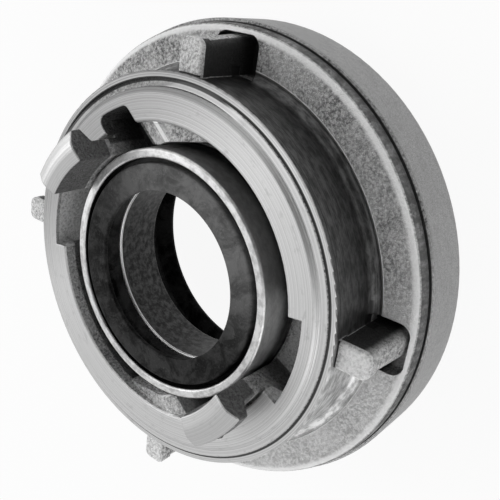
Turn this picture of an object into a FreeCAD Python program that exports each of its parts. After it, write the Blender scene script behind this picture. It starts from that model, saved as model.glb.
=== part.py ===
import FreeCAD, Part
import math
import os

# Storz reducing adapter, one casting with a small half on top and a large half below.
# Millimetres, Z is the axis of the bore, the tips of the lower claws stand on Z = 0.
# Each half is drawn with its ring face at height 0 and its mate towards +Z.

# heights: crown of the lower claws, the two ring faces and the flange between them
large_claw_height = 12.0
ring_faces_apart = 37.3
flange_front = 17.5
cast_shoulder_end = 22.1
rim_band_start = 22.8

# outside radii of the casting
neck_r = 50.0
shoulder_r = 61.5
rim_r = 62.5
rim_groove = 1.0

# small half, claw distance 66
small_claw_r = 33.0
small_claw_gap = 0.7
small_stub_wall = 2.3
small_claw_neck = 4.7
small_claw_hook = 3.4
small_claw_height = 11.5
small_hook_under = 5.0
small_lip_edge = 3.4
small_lip_root = 5.6
small_lip_width = 3.9
small_channel_depth = 12.0

# large half, claw distance 89
large_claw_r = 44.5
large_claw_gap = 0.9
large_stub_wall = 3.0
large_claw_neck = 5.9
large_claw_hook = 3.3
large_hook_under = 5.4
large_lip_edge = 4.6
large_lip_root = 6.8
large_lip_width = 4.1
large_channel_depth = 12.5
neck_clearance = 0.8

# angles round the axis, counted from +X towards +Y as seen from the mate
claw_start = 77.25
claw_end = 103.6
slot_start = 105.7
slot_end = 137.7
lug_angle = 40.2

# clearance notch beside each claw, with sides square to the line of the claws
small_notch_near = 8.7
small_notch_far = 19.6
large_notch_near = 11.4
large_notch_far = 25.7
notch_clearance = 0.8
notch_round = 2.0

# stop block: plan of its inner side, and how far its top lies below the ring face
small_stop_near_y = 26.0
small_stop_ridge_x = 24.5
small_stop_ridge_y = 23.9
small_stop_tail_x = 35.6
small_stop_tail_y = 15.4
large_stop_near_y = 35.6
large_stop_ridge_x = 32.8
large_stop_ridge_y = 32.1
large_stop_tail_x = 47.3
large_stop_tail_y = 20.5
stop_ridge_drop = 0.4
stop_near_drop = 1.2
stop_tail_drop = 2.7
stop_gap = 0.8

# ribs that serve as lugs, and the pockets in the flange round their feet
lug_front = 2.7
lug_tab_length = 3.6
lug_tab_reach = 8.5
lug_tab_overhang = 0.35
lug_back_reach = 9.4
lug_width = 6.1
lug_offset = 0.15
lug_round = 2.0
lug_rim_round = 1.0
pocket_width = 13.3
pocket_offset = 1.35
pocket_reach = 9.8
pocket_depth = 5.0
pocket_round = 3.0

# bore and seals
bore_shoulder = 5.8
bore_step = 21.0
chamber_shoulder = 6.0
fit_gap = 0.15
seal_groove = 1.0
small_seal_depth = 8.0
small_seal_foot = 4.0
small_seal_slit = 1.4
small_seal_reach = 6.7
large_seal_depth = 9.0
large_seal_foot = 4.6
large_seal_slit = 1.6
large_seal_reach = 7.2

# shallow crescent in the edge of the small ring face
crescent_angle = 63.0
crescent_tilt = 4.1
crescent_centre = 1.5

# radii and heights that follow
large_face_z = large_claw_height
small_face_z = large_face_z + ring_faces_apart
large_z = -ring_faces_apart
small_rim_r = neck_r + 0.4
small_stub_r = small_claw_r - small_claw_gap
small_seat_r = small_stub_r - small_stub_wall
small_bore_r = small_seat_r - bore_shoulder
small_groove_r = small_seat_r + seal_groove
small_head_r = small_claw_r + small_claw_neck + small_claw_hook
small_lip_r = small_claw_r + small_claw_neck + neck_clearance
small_channel_r = small_lip_r + small_lip_width
small_notch_r = small_channel_r + notch_clearance
large_stub_r = large_claw_r - large_claw_gap
large_seat_r = large_stub_r - large_stub_wall
large_groove_r = large_seat_r + seal_groove
large_head_r = large_claw_r + large_claw_neck + large_claw_hook
large_lip_r = large_claw_r + large_claw_neck + neck_clearance
large_channel_r = large_lip_r + large_lip_width
large_notch_r = large_channel_r + notch_clearance
chamber_r = large_seat_r - chamber_shoulder
pocket_floor = -flange_front - pocket_depth

centre = FreeCAD.Vector(0, 0, 0)
axis = FreeCAD.Vector(0, 0, 1)


def outline(corners):
    # closed face in the XZ plane; a corner is radius, height and rounding
    count = len(corners)
    starts = []
    ends = []
    mids = []
    for i in range(count):
        here = FreeCAD.Vector(corners[i][0], 0, corners[i][1])
        last = FreeCAD.Vector(corners[i - 1][0], 0, corners[i - 1][1])
        after = corners[(i + 1) % count]
        following = FreeCAD.Vector(after[0], 0, after[1])
        rounding = corners[i][2] if len(corners[i]) > 2 else 0
        if rounding == 0:
            starts.append(here)
            ends.append(here)
            mids.append(None)
            continue
        back = (last - here).normalize()
        ahead = (following - here).normalize()
        half = back.getAngle(ahead) / 2
        reach = rounding / math.tan(half)
        inward = (back + ahead).normalize()
        starts.append(here + back * reach)
        ends.append(here + ahead * reach)
        mids.append(here + inward * (rounding / math.sin(half) - rounding))
    edges = []
    for i in range(count):
        if mids[i] is not None:
            edges.append(Part.Arc(starts[i], mids[i], ends[i]).toShape())
        goal = starts[(i + 1) % count]
        if ends[i].distanceToPoint(goal) > 0.0001:
            edges.append(Part.LineSegment(ends[i], goal).toShape())
    return Part.Face(Part.Wire(edges))


def turned(corners, start=0.0, sweep=360.0):
    solid = outline(corners).revolve(centre, axis, sweep)
    solid.rotate(centre, axis, start)
    return solid


def sector(inner, outer, low, high, start=0.0, end=360.0):
    corners = [(inner, low), (outer, low), (outer, high), (inner, high)]
    return turned(corners, start, end - start)


def at_both_sides(solid):
    twin = solid.copy()
    twin.rotate(centre, axis, 180)
    return [solid, twin]


def upright_edges(solid, nearest):
    # edges parallel to the axis that lie outside a given radius
    found = []
    for edge in solid.Edges:
        first = edge.Vertexes[0].Point
        last = edge.Vertexes[-1].Point
        level = math.hypot(first.x - last.x, first.y - last.y)
        if level < 0.001 and math.hypot(first.x, first.y) > nearest:
            found.append(edge)
    return found


def notch(stub, near, far, outer, depth):
    base = FreeCAD.Vector(near, 0, 1.2 - depth)
    block = Part.makeBox(far - near, outer, depth, base)
    block = block.common(sector(stub + 1, outer, 1.2 - depth, 1.2))
    corners = upright_edges(block, outer - 0.1)
    return block.makeFillet(notch_round, corners)


def half_cuts(stub, lip, channel, depth, lip_edge, lip_root):
    # ring channel that runs on behind the lip, and the entry slots
    groove = [
        (stub, -depth, 0.8),
        (channel, -depth, 1.0),
        (channel, -lip_root, 0.5),
        (lip, -lip_edge, 0.4),
        (lip, -0.4),
        (lip + 0.4, 0),
        (lip + 0.4, 1),
        (stub - 0.4, 1),
        (stub - 0.4, 0),
        (stub, -0.4),
    ]
    slot = sector(stub + 1, channel, 1.2 - depth, 1, slot_start, slot_end)
    return [turned(groove)] + at_both_sides(slot)


def claw(inner, lip, head, height, under, channel, depth):
    # hook that points outwards, with a crowned front and its foot in the channel
    neck = lip - neck_clearance
    edge_under = under + (head - neck) * 0.64
    corners = [
        (inner, -depth - 1),
        (channel + 1.5, -depth - 1),
        (channel + 1.5, -3.0),
        (neck, -3.0, 0.3),
        (neck, under, 0.7),
        (head, edge_under, 0.4),
        (head - 0.2, height - 1.4, 1.1),
        (inner + 4.8, height, 3.0),
        (inner + 3, height, 3.0),
        (inner, height - 0.7, 0.4),
    ]
    solid = turned(corners, claw_start, claw_end - claw_start)
    tips = []
    for edge in solid.Edges:
        middle = edge.CenterOfMass
        turn = math.degrees(math.atan2(middle.y, middle.x))
        on_end = min(abs(turn - claw_start), abs(turn - claw_end)) < 0.05
        lowest = min(vertex.Z for vertex in edge.Vertexes)
        if on_end and lowest > under + 0.3 and math.hypot(middle.x, middle.y) > inner + 0.7:
            tips.append(edge)
    return solid.makeFillet(0.5, tips)


def stop_block(stub, lip, channel, depth, near, near_y, ridge, tail):
    # wedge that fills the channel: a ridge near the notch, then a ramp that falls away
    low = -depth - 1
    fall = (stop_tail_drop - stop_ridge_drop) / (tail[0] - ridge[0])
    end = channel + 1
    side = [
        (near, low),
        (end, low),
        (end, -stop_ridge_drop - fall * (end - ridge[0])),
        (ridge[0], -stop_ridge_drop),
        (near, -stop_near_drop),
    ]
    wedge = outline(side).extrude(FreeCAD.Vector(0, end, 0))
    plan = [
        (near, near_y),
        ridge,
        tail,
        (end, tail[1] * end / tail[0]),
        (end, end),
        (near, end),
    ]
    points = [FreeCAD.Vector(x, y, low) for x, y in plan]
    face = Part.Face(Part.makePolygon(points + points[:1]))
    block = wedge.common(face.extrude(FreeCAD.Vector(0, 0, -low)))
    return block.common(sector(stub + stop_gap, channel + 0.6, low, 0))


def bar(low, high, reach_low, reach_high, width):
    # radial bar on the neck with its two outer upright edges rounded
    corners = [
        (neck_r - 3, low),
        (neck_r + reach_low, low),
        (neck_r + reach_high, high),
        (neck_r - 3, high),
    ]
    solid = outline(corners).extrude(FreeCAD.Vector(0, width, 0))
    solid.translate(FreeCAD.Vector(0, -width / 2 - lug_offset, 0))
    uprights = []
    for edge in solid.Edges:
        along = edge.BoundBox.YLength < 0.001 and edge.BoundBox.ZLength > 1
        if along and edge.CenterOfMass.x > neck_r + 3:
            uprights.append(edge)
    return solid.makeFillet(lug_round, uprights)


def lug():
    # rib from the front rim to the floor of the pocket, with a slightly wider tab in front
    tab_back = -lug_front - lug_tab_length
    tab = bar(tab_back, -lug_front, lug_tab_reach, lug_tab_reach, lug_width + 2 * lug_tab_overhang)
    rims = []
    for edge in tab.Edges:
        middle = edge.CenterOfMass
        if abs(middle.z + lug_front) < 0.001 and middle.x > neck_r - 2.9:
            rims.append(edge)
    tab = tab.makeFillet(lug_rim_round, rims)
    front_reach = lug_tab_reach - lug_tab_overhang
    return tab.fuse(bar(pocket_floor - 0.5, tab_back + 0.5, lug_back_reach, front_reach, lug_width))


def pocket():
    # recess in the front of the flange round the foot of a rib
    height = pocket_depth + 3
    base = FreeCAD.Vector(neck_r - 3, -pocket_width / 2 - pocket_offset, pocket_floor)
    recess = Part.makeBox(pocket_reach + 3, pocket_width, height, base)
    recess = recess.makeFillet(pocket_round, upright_edges(recess, neck_r + 1))
    bottom = []
    for edge in recess.Edges:
        if edge.BoundBox.ZMax < pocket_floor + 0.001 and edge.CenterOfMass.x > neck_r - 2.9:
            bottom.append(edge)
    recess = recess.makeFillet(1.2, bottom)
    return recess.cut(sector(0, neck_r, pocket_floor - 1, 0))


def crescent():
    # tilted ring, so it bites only on one side of the step round the ring face
    outer = small_rim_r - 1.7
    ring = sector(outer - 2.1, outer, crescent_centre, crescent_centre + 8)
    turn = math.radians(crescent_angle)
    ring.rotate(centre, FreeCAD.Vector(-math.sin(turn), math.cos(turn), 0), crescent_tilt)
    return ring


def around(solid):
    copies = []
    for quarter in range(4):
        twin = solid.copy()
        twin.rotate(centre, axis, lug_angle + 90 * quarter)
        copies.append(twin)
    return copies


def raise_to(solids, height):
    moved = []
    for solid in solids:
        twin = solid.copy()
        twin.translate(FreeCAD.Vector(0, 0, height))
        moved.append(twin)
    return moved


def turn_down(solids, height):
    # half a turn about the X axis keeps the hand of the coupling
    moved = []
    for solid in solids:
        twin = solid.copy()
        twin.rotate(centre, FreeCAD.Vector(1, 0, 0), 180)
        twin.translate(FreeCAD.Vector(0, 0, height))
        moved.append(twin)
    return moved


# full profile of the casting, heights from the small ring face
casting = [
    (small_bore_r, -small_seal_depth, 0.4),
    (small_groove_r, -small_seal_depth),
    (small_groove_r, -small_seal_foot + fit_gap, 0.3),
    (small_seat_r, -small_seal_foot + fit_gap + 0.8),
    (small_seat_r, -0.3),
    (small_seat_r + 0.3, 0),
    (small_rim_r - 5.1, 0, 0.2),
    (small_rim_r - 3.8, -0.9),
    (small_rim_r - 2.1, -0.9),
    (small_rim_r - 1.8, -1.4, 0.2),
    (small_rim_r, -1.4, 0.5),
    (small_rim_r, -2.5, 0.15),
    (neck_r, -2.8),
    (neck_r, -flange_front, 2.5),
    (shoulder_r, -flange_front - 0.4, 2.6),
    (shoulder_r, -cast_shoulder_end, 0.3),
    (shoulder_r - rim_groove, -cast_shoulder_end - 0.1),
    (shoulder_r - rim_groove, -rim_band_start + 0.1),
    (rim_r, -rim_band_start, 0.3),
    (rim_r, large_z, 1.0),
    (large_seat_r + 0.3, large_z),
    (large_seat_r, large_z + 0.3),
    (large_seat_r, large_z + large_seal_foot - fit_gap - 0.8),
    (large_groove_r, large_z + large_seal_foot - fit_gap, 0.3),
    (large_groove_r, large_z + large_seal_depth),
    (chamber_r, large_z + large_seal_depth, 0.4),
    (chamber_r, -bore_step - 1.4, 1.0),
    (small_bore_r + 2.0, -bore_step - 0.4),
    (small_bore_r, -bore_step, 0.3),
]

small_cuts = half_cuts(
    small_stub_r, small_lip_r, small_channel_r,
    small_channel_depth, small_lip_edge, small_lip_root,
)
small_cuts += at_both_sides(notch(
    small_stub_r, small_notch_near, small_notch_far, small_notch_r, small_channel_depth,
))
small_added = at_both_sides(claw(
    small_claw_r, small_lip_r, small_head_r, small_claw_height,
    small_hook_under, small_channel_r, small_channel_depth,
))
small_added += at_both_sides(stop_block(
    small_stub_r, small_lip_r, small_channel_r, small_channel_depth,
    small_notch_far, small_stop_near_y,
    (small_stop_ridge_x, small_stop_ridge_y), (small_stop_tail_x, small_stop_tail_y),
))
large_cuts = half_cuts(
    large_stub_r, large_lip_r, large_channel_r,
    large_channel_depth, large_lip_edge, large_lip_root,
)
large_cuts += at_both_sides(notch(
    large_stub_r, large_notch_near, large_notch_far, large_notch_r, large_channel_depth,
))
large_added = at_both_sides(claw(
    large_claw_r, large_lip_r, large_head_r, large_claw_height,
    large_hook_under, large_channel_r, large_channel_depth,
))
large_added += at_both_sides(stop_block(
    large_stub_r, large_lip_r, large_channel_r, large_channel_depth,
    large_notch_far, large_stop_near_y,
    (large_stop_ridge_x, large_stop_ridge_y), (large_stop_tail_x, large_stop_tail_y),
))

body = raise_to([turned(casting)], small_face_z)[0]
cuts = raise_to(small_cuts, small_face_z)
cuts += turn_down(large_cuts, large_face_z)
cuts += raise_to(around(pocket()), small_face_z)
cuts += raise_to([crescent()], small_face_z)
body = body.cut(Part.makeCompound(cuts))
added = raise_to(small_added, small_face_z)
added += turn_down(large_added, large_face_z)
added += raise_to(around(lug()), small_face_z)
for solid in added:
    body = body.fuse(solid)
body = body.removeSplitter()


def seal(groove_r, seat_r, bore_r, slit, reach, depth, foot):
    # ring with a foot behind the stub's edge and a lip that points inwards
    outer = groove_r - fit_gap
    front_r = seat_r - slit
    inner_r = bore_r + 0.5
    lip_r = front_r - reach
    corners = [
        (inner_r, -depth, 0.3),
        (outer, -depth, 0.3),
        (outer, -foot, 0.3),
        (front_r, -foot + 0.8, 0.4),
        (front_r, 0.1, 0.5),
        (lip_r, -0.3, 0.35),
        (lip_r, -1.3, 0.25),
        (inner_r + 0.9, -foot + 0.2, 0.5),
        (inner_r, -foot - 0.8, 0.5),
    ]
    return turned(corners)


small_seal = seal(
    small_groove_r, small_seat_r, small_bore_r,
    small_seal_slit, small_seal_reach, small_seal_depth, small_seal_foot,
)
large_seal = seal(
    large_groove_r, large_seat_r, chamber_r,
    large_seal_slit, large_seal_reach, large_seal_depth, large_seal_foot,
)

pieces = {
    "adapter_body": body,
    "c_seal": raise_to([small_seal], small_face_z)[0],
    "b_seal": turn_down([large_seal], large_face_z)[0],
}

os.makedirs("parts", exist_ok=True)
for name, shape in pieces.items():
    solid = shape.Solids[0] if len(shape.Solids) == 1 else shape
    print(name, "solids", len(shape.Solids), "valid", shape.isValid(), "cm3", round(shape.Volume / 1000, 2))
    solid.exportStep("parts/" + name + ".step")
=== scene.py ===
import bpy
import math
from mathutils import Matrix, Vector


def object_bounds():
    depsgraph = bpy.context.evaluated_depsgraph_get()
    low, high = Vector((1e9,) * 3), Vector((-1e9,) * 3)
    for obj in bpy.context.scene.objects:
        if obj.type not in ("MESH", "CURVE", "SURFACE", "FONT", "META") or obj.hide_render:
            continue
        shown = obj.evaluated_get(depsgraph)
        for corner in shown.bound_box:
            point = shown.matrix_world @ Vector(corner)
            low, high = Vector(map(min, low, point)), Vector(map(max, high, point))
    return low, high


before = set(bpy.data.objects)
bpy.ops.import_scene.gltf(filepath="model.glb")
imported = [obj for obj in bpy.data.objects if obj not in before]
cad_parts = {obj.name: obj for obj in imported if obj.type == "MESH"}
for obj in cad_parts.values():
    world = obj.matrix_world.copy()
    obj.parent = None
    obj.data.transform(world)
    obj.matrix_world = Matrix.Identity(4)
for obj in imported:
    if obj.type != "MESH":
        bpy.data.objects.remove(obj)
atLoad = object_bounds()

# heights of the two ring faces in millimetres, from the tips of the claws
lowest, highest = atLoad
cast = {"smallFace": highest.z * 1000 - 11.5, "largeFace": lowest.z * 1000 + 12.0}
print("frame loaded")


class Wire:
    # one output of a node; sums and products of wires make Math nodes
    def __init__(self, sheet, socket):
        self.sheet = sheet
        self.socket = socket

    def __add__(self, other):
        return self.sheet.maths("ADD", self, other)

    def __radd__(self, other):
        return self.sheet.maths("ADD", other, self)

    def __sub__(self, other):
        return self.sheet.maths("SUBTRACT", self, other)

    def __rsub__(self, other):
        return self.sheet.maths("SUBTRACT", other, self)

    def __mul__(self, other):
        return self.sheet.maths("MULTIPLY", self, other)

    def __rmul__(self, other):
        return self.sheet.maths("MULTIPLY", other, self)

    def __truediv__(self, other):
        return self.sheet.maths("DIVIDE", self, other)

    def __neg__(self):
        return self.sheet.maths("MULTIPLY", self, -1.0)

    def __abs__(self):
        return self.sheet.maths("ABSOLUTE", self)


class Finish:
    # a material with its nodes; constants go straight onto the shader's own sockets
    def __init__(self, name, constants):
        self.material = bpy.data.materials.new(name)
        self.material.use_nodes = True
        self.tree = self.material.node_tree
        self.shader = self.tree.nodes["Principled BSDF"]
        for socket, value in constants.items():
            self.shader.inputs[socket].default_value = value
        place = self.node("ShaderNodeTexCoord", {}, {})
        self.place = Wire(self, place.outputs["Object"])
        self.facing = Wire(self, place.outputs["Normal"])
        self.millimetres = self.vector("MULTIPLY", self.place, (1000.0, 1000.0, 1000.0))

    def node(self, kind, settings, inputs):
        made = self.tree.nodes.new(kind)
        for name, value in settings.items():
            setattr(made, name, value)
        for name, value in inputs.items():
            self.feed(made.inputs[name], value)
        return made

    def feed(self, socket, value):
        if isinstance(value, Wire):
            self.tree.links.new(value.socket, socket)
        else:
            socket.default_value = value

    def maths(self, operation, first, second=None):
        given = {0: first}
        if second is not None:
            given[1] = second
        made = self.node("ShaderNodeMath", {"operation": operation}, given)
        return Wire(self, made.outputs[0])

    def vector(self, operation, first, second=None):
        given = {0: first}
        if second is not None:
            given[1] = second
        made = self.node("ShaderNodeVectorMath", {"operation": operation}, given)
        return Wire(self, made.outputs["Vector"])

    def split(self, vector):
        made = self.node("ShaderNodeSeparateXYZ", {}, {0: vector})
        return [Wire(self, made.outputs[i]) for i in range(3)]

    def join(self, x, y, z):
        made = self.node("ShaderNodeCombineXYZ", {}, {0: x, 1: y, 2: z})
        return Wire(self, made.outputs[0])

    def ramp(self, value, low, high, start=0.0, end=1.0):
        settings = {"interpolation_type": "SMOOTHSTEP"}
        given = {"Value": value, "From Min": low, "From Max": high}
        given["To Min"] = start
        given["To Max"] = end
        made = self.node("ShaderNodeMapRange", settings, given)
        return Wire(self, made.outputs["Result"])

    def within(self, value, low, high, soft=0.1):
        # 1 between low and high, with soft edges
        begun = self.ramp(value, low - soft, low + soft)
        return begun * self.ramp(value, high - soft, high + soft, 1.0, 0.0)

    def colour(self, factor, first, second):
        made = self.node("ShaderNodeMix", {"data_type": "RGBA"}, {0: factor, 6: first, 7: second})
        return Wire(self, made.outputs[2])

    def blend(self, factor, first, second):
        made = self.node("ShaderNodeMix", {"data_type": "FLOAT"}, {0: factor, 2: first, 3: second})
        return Wire(self, made.outputs[0])

    def noise(self, scale, detail=2.0, rough=0.5, at=None, spread=0.0):
        given = {"Vector": at or self.millimetres, "Scale": scale, "Detail": detail}
        given["Roughness"] = rough
        given["Distortion"] = spread
        made = self.node("ShaderNodeTexNoise", {}, given)
        return Wire(self, made.outputs["Fac"])

    def line(self, at, scale, detail=2.0):
        # noise along one number only, for marks that run round the axis
        settings = {"noise_dimensions": "1D"}
        given = {"W": at, "Scale": scale, "Detail": detail}
        made = self.node("ShaderNodeTexNoise", settings, given)
        return Wire(self, made.outputs["Fac"])

    def cells(self, scale):
        # distance to the nearest of many scattered points
        made = self.node("ShaderNodeTexVoronoi", {}, {"Vector": self.millimetres, "Scale": scale})
        return Wire(self, made.outputs["Distance"])

    def relief(self, height, strength, distance, under=None):
        given = {"Height": height, "Strength": strength, "Distance": distance}
        if under is not None:
            given["Normal"] = under
        made = self.node("ShaderNodeBump", {}, given)
        return Wire(self, made.outputs["Normal"])

    def soften(self, radius):
        # normals rounded over the sharp edges of the casting
        made = self.node("ShaderNodeBevel", {"samples": 6}, {"Radius": radius})
        return Wire(self, made.outputs["Normal"])

    def connect(self, **sockets):
        for name, value in sockets.items():
            self.feed(self.shader.inputs[name.replace("_", " ")], value)
        return self.material


def grey(value, warmth=0.0):
    return (value * (1 + warmth), value, value * (1 - warmth), 1.0)


castTones = {
    "skinDark": 0.11,
    "skin": 0.60,
    "skinWorn": 0.72,
    "sparkle": 0.98,
    "paintedLightTone": 0.90,
    "paintedEdgeHighlight": 0.92,
    "paintedFlangeLight": 0.88,
    "shoulder": 0.09,
    "face": 0.60,
    "faceDark": 0.42,
    "farFace": 0.20,
    "farFaceDark": 0.13,
    "stubTop": 0.62,
    "stubTopDark": 0.40,
    "stubSide": 0.90,
    "claw": 0.36,
    "clawSideShade": 0.12,
    "notch": 0.06,
    "notchDark": 0.01,
    "neck": 0.12,
    "neckDark": 0.040,
    "neckReflectionBright": 0.90,
    "neckReflectionDim": 0.38,
    "chamber": 0.05,
    "band": 0.40,
    "bandDark": 0.26,
    "paintedShade": 0.010,
    "edgeRadius": 0.00040,
}

# places on the casting in millimetres: lowest and highest from the small ring face, inner and outer radius
places = {
    "ringTop": (-0.7, 0.6, 38.2, 46.9),
    "ringStep": (-1.8, -0.6, 45.4, 50.6),
    "crescentWall": (-2.8, -1.15, 47.9, 49.0),
    "crescentRoot": (-2.8, -1.15, 46.2, 46.75),
    "undercut": (-3.3, -2.45, 49.6, 50.6),
    "stubTop": (-0.6, 0.6, 29.7, 32.5),
    "stubSide": (-12.4, -0.3, 32.0, 32.65),
    "boreEdge": (-8.6, -7.6, 23.9, 24.9),
    "channel": (-14.0, 0.0, 32.9, 43.6),
    "slotFloor": (-14.0, -1.0, 33.2, 42.9),
    "notch": (-13.0, -0.25, 33.1, 43.7),
    "stopTop": (-1.6, -0.1, 33.0, 38.6),
    "neckSide": (-17.0, -0.9, 49.4, 50.7),
    "neckFoot": (-17.6, -14.8, 49.4, 52.4),
    "footLine": (-17.7, -16.6, 51.2, 52.7),
    "lugFront": (-4.1, -2.5, 50.7, 60.0),
    "lugStep": (-6.9, -6.3, 50.2, 60.0),
    "lugSide": (-23.2, -4.1, 50.15, 60.6),
    "pocketFloor": (-23.2, -20.5, 49.5, 60.6),
    "shoulderEdge": (-18.7, -17.9, 59.3, 60.9),
    "shoulder": (-22.2, -19.0, 60.2, 61.8),
    "rimGroove": (-22.95, -21.95, 59.5, 61.75),
}

# lugs repeat four times round the axis, notches and stop blocks twice
lugs = {"angle": 40.2, "half": 3.9, "shadeRadius": 56.3, "shadeSwing": 3.0}
sides = {"notchStart": 8.0, "notchEnd": 20.4, "stopRidge": 24.5, "slotStart": 105.0, "slotEnd": 138.4}


class CastZones:
    # masks from 0 to 1 over the casting, from radius, height, angle and the way a face looks
    def __init__(self, f):
        x, y, z = f.split(f.millimetres)
        nx, ny, nz = f.split(f.facing)
        self.f = f
        self.z = z
        self.nz = nz
        self.radius = f.maths("SQRT", x * x + y * y)
        self.turn = f.maths("ARCTAN2", y, x)
        outward = (nx * x + ny * y) / f.maths("MAXIMUM", self.radius, 1.0)
        self.up = z - cast["smallFace"]
        self.down = cast["largeFace"] - z
        self.faceUp = f.ramp(nz, 0.50, 0.80)
        self.faceDown = f.ramp(-nz, 0.50, 0.80)
        self.faceOut = f.ramp(outward, 0.5, 0.8)
        self.y = y
        self.across = x * -0.2 - y * 0.98
        self.mirrorX = x * f.maths("SIGN", y)
        degrees = self.turn * (180 / math.pi)
        quarter = f.maths("MODULO", degrees - lugs["angle"] + 405.0, 90.0) - 45.0
        self.beside = abs(self.radius * f.maths("SINE", quarter * (math.pi / 180)))
        half = f.maths("MODULO", degrees + 360.0, 180.0)
        self.slot = f.within(half, sides["slotStart"], sides["slotEnd"], 0.4)

    def shell(self, place, soft=0.1):
        low, high, inner, outer = places[place]
        return self.f.within(self.up, low, high, soft) * self.f.within(self.radius, inner, outer, soft)

    def any(self, first, *others):
        for other in others:
            first = self.f.maths("MAXIMUM", first, other)
        return first

    def smallFace(self):
        return self.any(self.shell("ringTop"), self.shell("ringStep")) * self.faceUp

    def largeFace(self):
        f = self.f
        return f.within(self.down, -0.7, 0.6) * f.ramp(self.radius, 50.9, 51.2) * self.faceDown

    def stubTop(self):
        return self.shell("stubTop")

    def stubSide(self):
        return self.shell("stubSide")

    def claw(self):
        f = self.f
        high = f.ramp(self.up, 0.8, 1.2) * f.ramp(self.radius, 42.0, 42.4, 1.0, 0.0)
        low = f.ramp(self.down, 0.8, 1.2) * f.ramp(self.radius, 54.4, 54.8, 1.0, 0.0)
        return self.any(high, low)

    def clawFront(self):
        f = self.f
        tips = self.any(f.ramp(self.up, 9.0, 9.6), f.ramp(self.down, 9.4, 10.0))
        return self.claw() * f.ramp(abs(self.nz), 0.30, 0.60) * tips

    def neck(self):
        return self.any(self.shell("neckSide") * self.faceOut, self.shell("neckFoot"))

    def band(self):
        f = self.f
        outside = f.within(self.z, 11.9, 26.75) * f.ramp(self.radius, 61.0, 61.3)
        return outside * f.ramp(self.nz, 0.75, 0.95, 1.0, 0.0)

    def bore(self):
        return self.f.ramp(self.radius, 30.1, 30.5, 1.0, 0.0)

    def chamber(self):
        f = self.f
        return f.ramp(self.radius, 42.0, 42.3, 1.0, 0.0) * f.ramp(self.up, -20.2, -20.8)

    def largeStub(self):
        f = self.f
        return f.within(self.down, -12.6, 0.6) * f.within(self.radius, 40.0, 43.9)

    def channelShade(self):
        # painted shade under the lips of both halves, lighter in the entry slots
        f = self.f
        small = f.ramp(self.up, -2.8, -8.5) * self.shell("channel", 0.3)
        hollow = f.within(self.down, -14.5, 0.0) * f.within(self.radius, 44.2, 56.8, 0.3)
        large = f.ramp(self.down, -2.8, -8.5) * hollow
        return self.any(small, large) * (1.0 - self.slot * 0.8)

    def grooveShade(self):
        # painted shade in the rim groove, along the undercut under the ring and in the crescent
        rim = self.shell("rimGroove")
        undercut = self.shell("undercut", 0.08)
        crescent = self.shell("crescentWall", 0.12) * 0.95
        return self.any(rim, undercut, crescent, self.shell("crescentRoot") * 0.7)

    def footLine(self):
        # painted highlight: a bright line where the fillet meets the flange
        return self.shell("footLine") * self.f.ramp(self.beside, 7.6, 8.6)

    def shoulderEdge(self):
        # painted highlight along the rounded edge of the shoulder
        return self.shell("shoulderEdge", 0.15)

    def boreEdge(self):
        # painted highlight on the front edge of the bore
        return self.shell("boreEdge")

    def notch(self):
        # painted shade in the notches, full on the side of positive y and weaker on the other
        f = self.f
        cut = f.within(self.mirrorX, sides["notchStart"], sides["notchEnd"]) * self.shell("notch")
        return cut * f.ramp(self.y, -1.0, 1.0, 0.35, 1.0)

    def lugFront(self):
        # front faces of the lugs, which are lightened with painted light
        return self.shell("lugFront") * self.f.ramp(self.beside, 4.2, 4.6, 1.0, 0.0)

    def lugShade(self):
        # painted shade on the sides of the ribs and the pockets behind them, dark towards the neck
        f = self.f
        swing = f.maths("COSINE", self.turn - math.radians(lugs["angle"])) * lugs["shadeSwing"]
        limit = lugs["shadeRadius"] + swing
        near = f.ramp(limit - self.radius, -1.4, 1.0)
        side = self.shell("lugSide") * f.within(self.beside, 2.1, 8.6, 0.15)
        flange = f.within(self.up, -18.3, -15.0, 0.1) * self.faceUp
        half = lugs["half"]
        step = self.shell("lugStep") * f.ramp(self.beside, half, half + 0.3, 1.0, 0.0)
        floor = self.shell("pocketFloor", 0.3) * near * 0.85
        return self.any(side * near * (1.0 - flange), step * 0.9, floor)

    def stopRidge(self):
        # painted highlight along the ridge of the stop blocks, stronger on the side of positive y
        f = self.f
        line = f.within(self.mirrorX, sides["stopRidge"] - 0.55, sides["stopRidge"] + 0.55, 0.15)
        return line * self.shell("stopTop") * self.faceUp * f.ramp(self.y, -1.0, 1.0, 0.25, 1.0)


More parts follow.
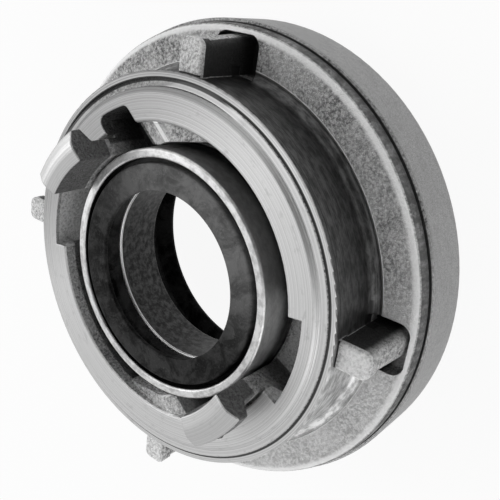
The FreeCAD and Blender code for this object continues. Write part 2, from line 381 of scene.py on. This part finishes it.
def castingFinish():
    f = Finish("cast and turned alloy", {"Specular IOR Level": 0.5, "IOR": 1.45})
    zones = CastZones(f)
    tone = castTones
    radius, turn, z = zones.radius, zones.turn, zones.z
    smallFace, largeFace, stubTop = zones.smallFace(), zones.largeFace(), zones.stubTop()
    clawFront, stubSide = zones.clawFront(), zones.stubSide()
    neck, band = zones.neck(), zones.band()
    inside = zones.any(zones.bore(), zones.chamber(), zones.largeStub())
    bright = zones.any(smallFace, largeFace, stubTop, clawFront)
    dull = zones.any(stubSide, neck, inside)
    turned = zones.any(bright, dull, band)

    # tool marks run round the axis; the casting skin has grit, pits and broad patches
    acrossFace = f.line(radius, 5.0, 4.0)
    alongSide = f.line(z, 4.0, 4.0)
    marks = f.blend(abs(zones.nz), alongSide, acrossFace)
    arcs = f.join(radius * 0.7, turn * 13.0, z * 0.7)
    wander = f.noise(1.0, 4.0, 0.65, arcs)
    grit = f.noise(1.35, 5.0, 0.72)
    fine = f.noise(5.0, 3.0, 0.6)
    patches = f.noise(0.10, 4.0, 0.6, None, 0.4)
    streaks = f.noise(1.0, 3.0, 0.6, f.join(turn * 30.0, radius * 0.15, z * 0.15))
    pitted = f.ramp(f.cells(0.55), 0.05, 0.22, 1.0, 0.0) * f.ramp(patches, 0.48, 0.62)

    # colour of the cast skin
    skin = f.colour(f.ramp(grit, 0.36, 0.64), grey(tone["skinDark"]), grey(tone["skin"]))
    skin = f.colour(f.ramp(patches, 0.35, 0.68) * 0.5, skin, grey(tone["skinWorn"]))
    skin = f.colour(pitted * 0.5, skin, grey(tone["skinDark"] * 0.4))
    sparkle = f.ramp(fine, 0.56, 0.68) * f.ramp(grit, 0.46, 0.60)
    skin = f.colour(sparkle * 0.85, skin, grey(tone["sparkle"]))
    # slot floors and lug fronts lightened: painted light
    paintedLightMask = zones.any(zones.slot * zones.shell("slotFloor"), zones.lugFront() * 0.6)
    skin = f.colour(paintedLightMask * f.ramp(grit, 0.30, 0.60, 0.25, 0.75), skin, grey(tone["paintedLightTone"]))
    coarse = f.ramp(grit, 0.35, 0.65)
    # darker claw sides: painted shade
    clawSideShade = f.colour(coarse, grey(tone["clawSideShade"] * 0.6), grey(tone["clawSideShade"] * 1.3))
    skin = f.colour(zones.claw() * (1.0 - clawFront) * 0.9, skin, clawSideShade)
    # painted shade in the notches
    notchShadeTone = f.colour(coarse, grey(tone["notchDark"]), grey(tone["notch"]))
    skin = f.colour(zones.notch() * 0.85, skin, notchShadeTone)
    shoulder = zones.shell("shoulder")
    skin = f.colour(shoulder * f.ramp(streaks, 0.30, 0.62, 0.60, 0.95), skin, grey(tone["shoulder"]))
    # painted highlights on the shoulder edge and along the foot of the neck
    skin = f.colour(zones.shoulderEdge() * 0.9, skin, grey(tone["paintedFlangeLight"]))
    skin = f.colour(zones.footLine() * 0.8, skin, grey(tone["paintedEdgeHighlight"]))
    # lower part of the flange painted lighter: painted light
    paintedLightLowFlange = f.ramp(zones.y, -40.0, -20.0, 0.45, 0.0) * zones.faceUp * f.ramp(radius, 51.0, 52.0)
    skin = f.colour(paintedLightLowFlange, skin, grey(tone["paintedFlangeLight"]))

    # colours of the turned surfaces
    faceTone = f.colour(f.ramp(marks, 0.30, 0.70), grey(tone["faceDark"]), grey(tone["face"]))
    faceTone = f.colour(f.ramp(wander, 0.55, 0.75) * 0.5, faceTone, grey(tone["faceDark"] * 0.7))
    # far side of the small ring face toned darker: painted shade
    farSideShade = smallFace * f.ramp(zones.across, -46.0, -6.0, 0.86, 0.0)
    farShadeTone = f.colour(f.ramp(marks, 0.30, 0.70), grey(tone["farFaceDark"]), grey(tone["farFace"]))
    faceTone = f.colour(farSideShade, faceTone, farShadeTone)
    stubTone = f.colour(f.ramp(wander, 0.4, 0.65), grey(tone["stubTop"]), grey(tone["stubTopDark"]))
    faceTone = f.colour(stubTop, faceTone, stubTone)
    faceTone = f.colour(clawFront * 0.5, faceTone, grey(tone["claw"]))
    # very dark neck tones stand in for the neck's dark reflections: painted reflection
    dullTone = f.colour(f.ramp(wander, 0.35, 0.68), grey(tone["neckDark"]), grey(tone["neck"]))
    dullTone = f.colour(f.ramp(marks, 0.45, 0.75) * 0.25, dullTone, grey(tone["neck"] * 1.6))
    # lower end of the neck painted lighter: painted reflection
    lowEndReflection = f.ramp(zones.y, -43.5, -34.0, 0.85, 0.0)
    neckReflectionTone = f.colour(f.ramp(wander, 0.35, 0.65), grey(tone["neckReflectionDim"]), grey(tone["neckReflectionBright"]))
    dullTone = f.colour(lowEndReflection, dullTone, neckReflectionTone)
    # stub side light near the front, taking the dark neck tone deeper in the channel: painted shade
    sideTone = f.colour(f.ramp(wander, 0.35, 0.65), grey(tone["stubSide"] * 0.8), grey(tone["stubSide"]))
    dullTone = f.colour(stubSide * f.ramp(zones.up, -9.5, -5.0), dullTone, sideTone)
    # bores and chamber toned near black: painted shade inside them
    hole = tone["chamber"]
    insideTone = f.colour(f.ramp(wander, 0.35, 0.70), grey(hole * 0.35), grey(hole * 1.5))
    insideTone = f.colour(f.ramp(fine, 0.50, 0.75) * 0.3, insideTone, grey(hole * 3.0))
    dullTone = f.colour(inside * (1.0 - stubSide), dullTone, insideTone)
    bandTone = f.colour(f.ramp(fine, 0.35, 0.65), grey(tone["bandDark"]), grey(tone["band"]))
    bandTone = f.colour(f.ramp(wander, 0.45, 0.7) * 0.3, bandTone, grey(tone["bandDark"] * 0.8))
    bandTone = f.colour(f.ramp(grit, 0.50, 0.62, 0.0, 0.35), bandTone, grey(tone["bandDark"] * 0.7))
    colour = f.colour(bright, skin, faceTone)
    colour = f.colour(dull * (1.0 - bright), colour, dullTone)
    colour = f.colour(band, colour, bandTone)
    # painted highlights on the stop ridges and the bore edge
    paintedHighlights = zones.any(zones.stopRidge(), zones.boreEdge())
    colour = f.colour(paintedHighlights, colour, grey(tone["paintedEdgeHighlight"]))

    # painted shade in grooves and recesses
    shade = zones.any(zones.grooveShade(), zones.channelShade() * 0.8, zones.lugShade())
    colour = f.colour(shade, colour, grey(tone["paintedShade"]))

    rough = f.blend(turned, f.ramp(grit, 0.3, 0.7, 0.60, 0.34), f.ramp(marks, 0.3, 0.7, 0.48, 0.38))
    rough = f.blend(band, rough, f.ramp(fine, 0.3, 0.7, 0.58, 0.46))
    metallic = f.blend(turned, f.ramp(grit, 0.42, 0.60, 0.50, 0.92), 0.95) * (1.0 - shade * 0.9)

    edges = f.soften(tone["edgeRadius"])
    grain = f.blend(turned, grit * 1.35 + fine * 0.55 + patches * 0.5, marks * 0.035 + fine * 0.02)
    grain = grain + band * (grit * 0.22 + fine * 0.14)
    normal = f.relief(grain, 0.80, 0.00065, edges)
    return f.connect(Base_Color=colour, Roughness=rough, Metallic=metallic, Normal=normal)


sealTones = {"dark": 0.0015, "light": 0.19, "dust": 0.26, "edgeRadius": 0.0004}


def sealFinish():
    f = Finish("black seal rubber", {"Metallic": 0.0, "IOR": 1.35, "Specular IOR Level": 0.14})
    x, y, z = f.split(f.millimetres)
    radius = f.maths("SQRT", x * x + y * y)
    turn = f.maths("ARCTAN2", y, x)
    cloud = f.noise(0.16, 5.0, 0.72, None, 0.5)
    flow = f.noise(1.0, 4.0, 0.7, f.join(radius * 0.9, turn * 5.0, z * 0.9))
    dust = f.noise(1.6, 4.0, 0.75)
    rings = f.line(radius, 2.2, 2.0)
    # one side of the seal painted lighter: painted light, mixed into random wear and dust
    side = f.ramp(x + y * 0.35, -4.0, 24.0)
    wearAndPaintedLight = f.ramp(cloud, 0.40, 0.62) * 0.18 + side * f.ramp(cloud, 0.25, 0.60, 0.35, 0.75)
    tone = f.colour(wearAndPaintedLight, grey(sealTones["dark"]), grey(sealTones["light"]))
    dustAndPaintedLight = f.ramp(dust, 0.48, 0.78) * f.ramp(flow, 0.42, 0.62) * (side * 0.6 + 0.2)
    tone = f.colour(dustAndPaintedLight, tone, grey(sealTones["dust"]))
    rough = f.ramp(flow, 0.3, 0.7, 0.42, 0.62)
    edges = f.soften(sealTones["edgeRadius"])
    normal = f.relief(rings * 0.25 + dust * 0.35 + cloud * 1.4, 0.45, 0.0005, edges)
    return f.connect(Base_Color=tone, Roughness=rough, Normal=normal)


def dress(name, finish):
    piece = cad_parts[name]
    piece.data.materials.clear()
    piece.data.materials.append(finish)


rubber = sealFinish()
dress("adapter_body", castingFinish())
dress("c_seal", rubber)
dress("b_seal", rubber)
print("finishes assigned")

ground = {"span": 6.0, "white": 0.93, "shown": 0.92}


def floorFinish():
    # the camera and reflections see it nearly white; the shadow stays as a soft grey
    f = Finish("pale studio floor", {"Roughness": 0.9, "Metallic": 0.0})
    tone = f.noise(0.002, 2.0, 0.5)
    f.connect(Base_Color=f.colour(tone, grey(ground["white"]), grey(ground["white"] * 0.985)))
    path = f.node("ShaderNodeLightPath", {}, {})
    seen = Wire(f, path.outputs["Is Camera Ray"])
    for kind in ("Is Glossy Ray", "Is Transmission Ray"):
        seen = f.maths("MAXIMUM", seen, Wire(f, path.outputs[kind]))
    glow = f.node("ShaderNodeEmission", {}, {"Color": grey(1.0), "Strength": 1.0})
    mixed = f.node("ShaderNodeMixShader", {}, {0: seen * ground["shown"]})
    f.tree.links.new(f.shader.outputs[0], mixed.inputs[1])
    f.tree.links.new(glow.outputs[0], mixed.inputs[2])
    f.tree.links.new(mixed.outputs[0], f.tree.nodes["Material Output"].inputs["Surface"])
    return f.material


bpy.ops.mesh.primitive_plane_add(size=ground["span"], location=(0, 0, 0))
floor = bpy.context.object
floor.name = "studio floor"
floor.data.materials.append(floorFinish())

studio = {"diffuse": 0.50, "shown": 1.0}


def studioWorld():
    world = bpy.data.worlds.new("studio")
    bpy.context.scene.world = world
    world.use_nodes = True
    tree = world.node_tree
    soft = tree.nodes["Background"]
    soft.inputs["Color"].default_value = (1.0, 1.0, 1.0, 1.0)
    soft.inputs["Strength"].default_value = studio["diffuse"]
    white = tree.nodes.new("ShaderNodeBackground")
    white.inputs["Color"].default_value = (1.0, 1.0, 1.0, 1.0)
    white.inputs["Strength"].default_value = studio["shown"]
    path = tree.nodes.new("ShaderNodeLightPath")
    seen = path.outputs["Is Camera Ray"]
    for kind in ("Is Glossy Ray", "Is Transmission Ray"):
        either = tree.nodes.new("ShaderNodeMath")
        either.operation = "MAXIMUM"
        tree.links.new(seen, either.inputs[0])
        tree.links.new(path.outputs[kind], either.inputs[1])
        seen = either.outputs[0]
    mixed = tree.nodes.new("ShaderNodeMixShader")
    tree.links.new(seen, mixed.inputs[0])
    tree.links.new(soft.outputs[0], mixed.inputs[1])
    tree.links.new(white.outputs[0], mixed.inputs[2])
    tree.links.new(mixed.outputs[0], tree.nodes["World Output"].inputs["Surface"])


def softbox(name, place, aim, size, watts):
    lamp = bpy.data.lights.new(name, "AREA")
    lamp.shape = "RECTANGLE"
    lamp.size = size[0]
    lamp.size_y = size[1]
    lamp.energy = watts
    box = bpy.data.objects.new(name, lamp)
    bpy.context.collection.objects.link(box)
    away = Vector(place) - Vector(aim)
    facing = away.to_track_quat("Z", "Y").to_matrix().to_4x4()
    box.matrix_world = Matrix.Translation(Vector(place)) @ facing


lights = {
    "key softbox": {"place": (-0.42, 0.66, 0.60), "size": (0.65, 0.65), "watts": 3.2},
    "low softbox": {"place": (0.12, -0.85, 0.34), "size": (0.30, 0.70), "watts": 1.6},
}

studioWorld()
for name, lamp in lights.items():
    softbox(name, lamp["place"], (0.0, 0.0, 0.03), lamp["size"], lamp["watts"])

flag = {"size": 0.9, "place": (0.62, -0.10, 0.55)}


def darkFlag():
    # a black card behind the camera that only reflections see, as round a photographer
    bpy.ops.mesh.primitive_plane_add(size=flag["size"])
    card = bpy.context.object
    card.name = "dark flag"
    away = Vector((0.0, 0.0, 0.03)) - Vector(flag["place"])
    facing = away.to_track_quat("Z", "Y").to_matrix().to_4x4()
    card.matrix_world = Matrix.Translation(flag["place"]) @ facing
    black = Finish("black card", {"Base Color": grey(0.01), "Roughness": 1.0})
    card.data.materials.append(black.material)
    card.visible_camera = False
    card.visible_diffuse = False
    card.visible_shadow = False


darkFlag()

lens = {"focal": 50.4, "sensor": 36.0, "place": (0.1282, -0.0357, 0.1665)}


def photoCamera():
    made = bpy.data.cameras.new("photo camera")
    made.lens = lens["focal"]
    made.sensor_width = lens["sensor"]
    camera = bpy.data.objects.new("photo camera", made)
    bpy.context.collection.objects.link(camera)
    right = (0.5956, -0.5124, -0.6186)
    above = (0.4917, 0.8416, -0.2236)
    behind = (0.6352, -0.1710, 0.7532)
    turned = Matrix((right, above, behind)).transposed()
    camera.matrix_world = Matrix.Translation(lens["place"]) @ turned.to_4x4()
    bpy.context.scene.camera = camera


photoCamera()
bpy.context.scene.view_settings.view_transform = "Standard"
print("studio ready")
